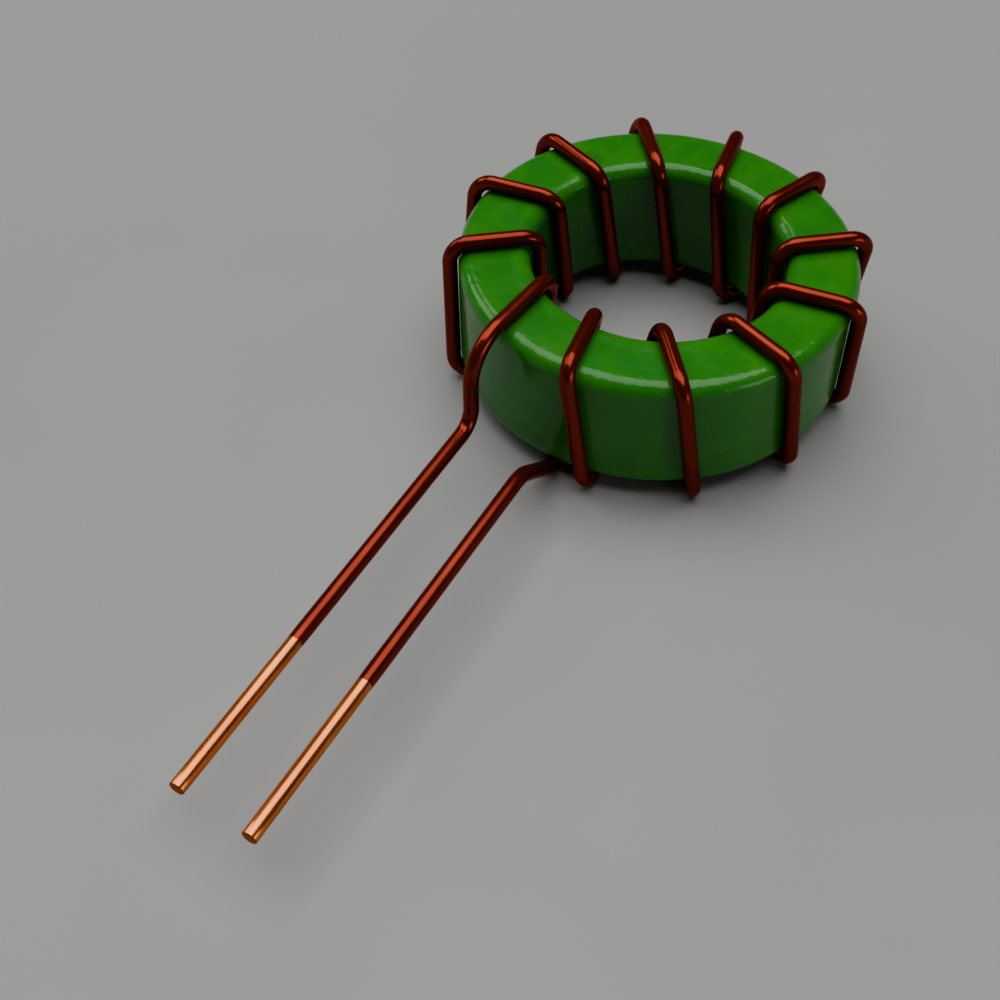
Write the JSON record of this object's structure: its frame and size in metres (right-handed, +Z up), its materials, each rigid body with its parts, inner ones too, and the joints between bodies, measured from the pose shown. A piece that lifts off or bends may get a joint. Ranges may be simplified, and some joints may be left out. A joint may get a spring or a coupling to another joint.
{
  "type": "toroidal inductor",
  "caption": "Ring-shaped glossy coated core wound with stiff enamelled copper wire, for storing energy as a magnetic field, with long straight leads stripped at their tips.",
  "frame": {"origin": "middle of the outline in plan, leads included, on the surface that the winding stands on", "axes": "+Z up along the ring's axis; the leads run out parallel towards -Y; +X completes a right-handed frame"},
  "size_m": [0.027, 0.0566, 0.0102],
  "materials": {
    "core_coating": "glossy green epoxy coat over a sintered ferrite ring",
    "bare_copper": "bare drawn copper, stripped of its enamel, semi-bright",
    "wire_enamel": "glossy red-brown wire enamel"
  },
  "bodies": {
    "root": {"toroid_core": "core_coating", "copper_wire": "bare_copper", "wire_enamel": "wire_enamel"}
  },
  "joints": []
}
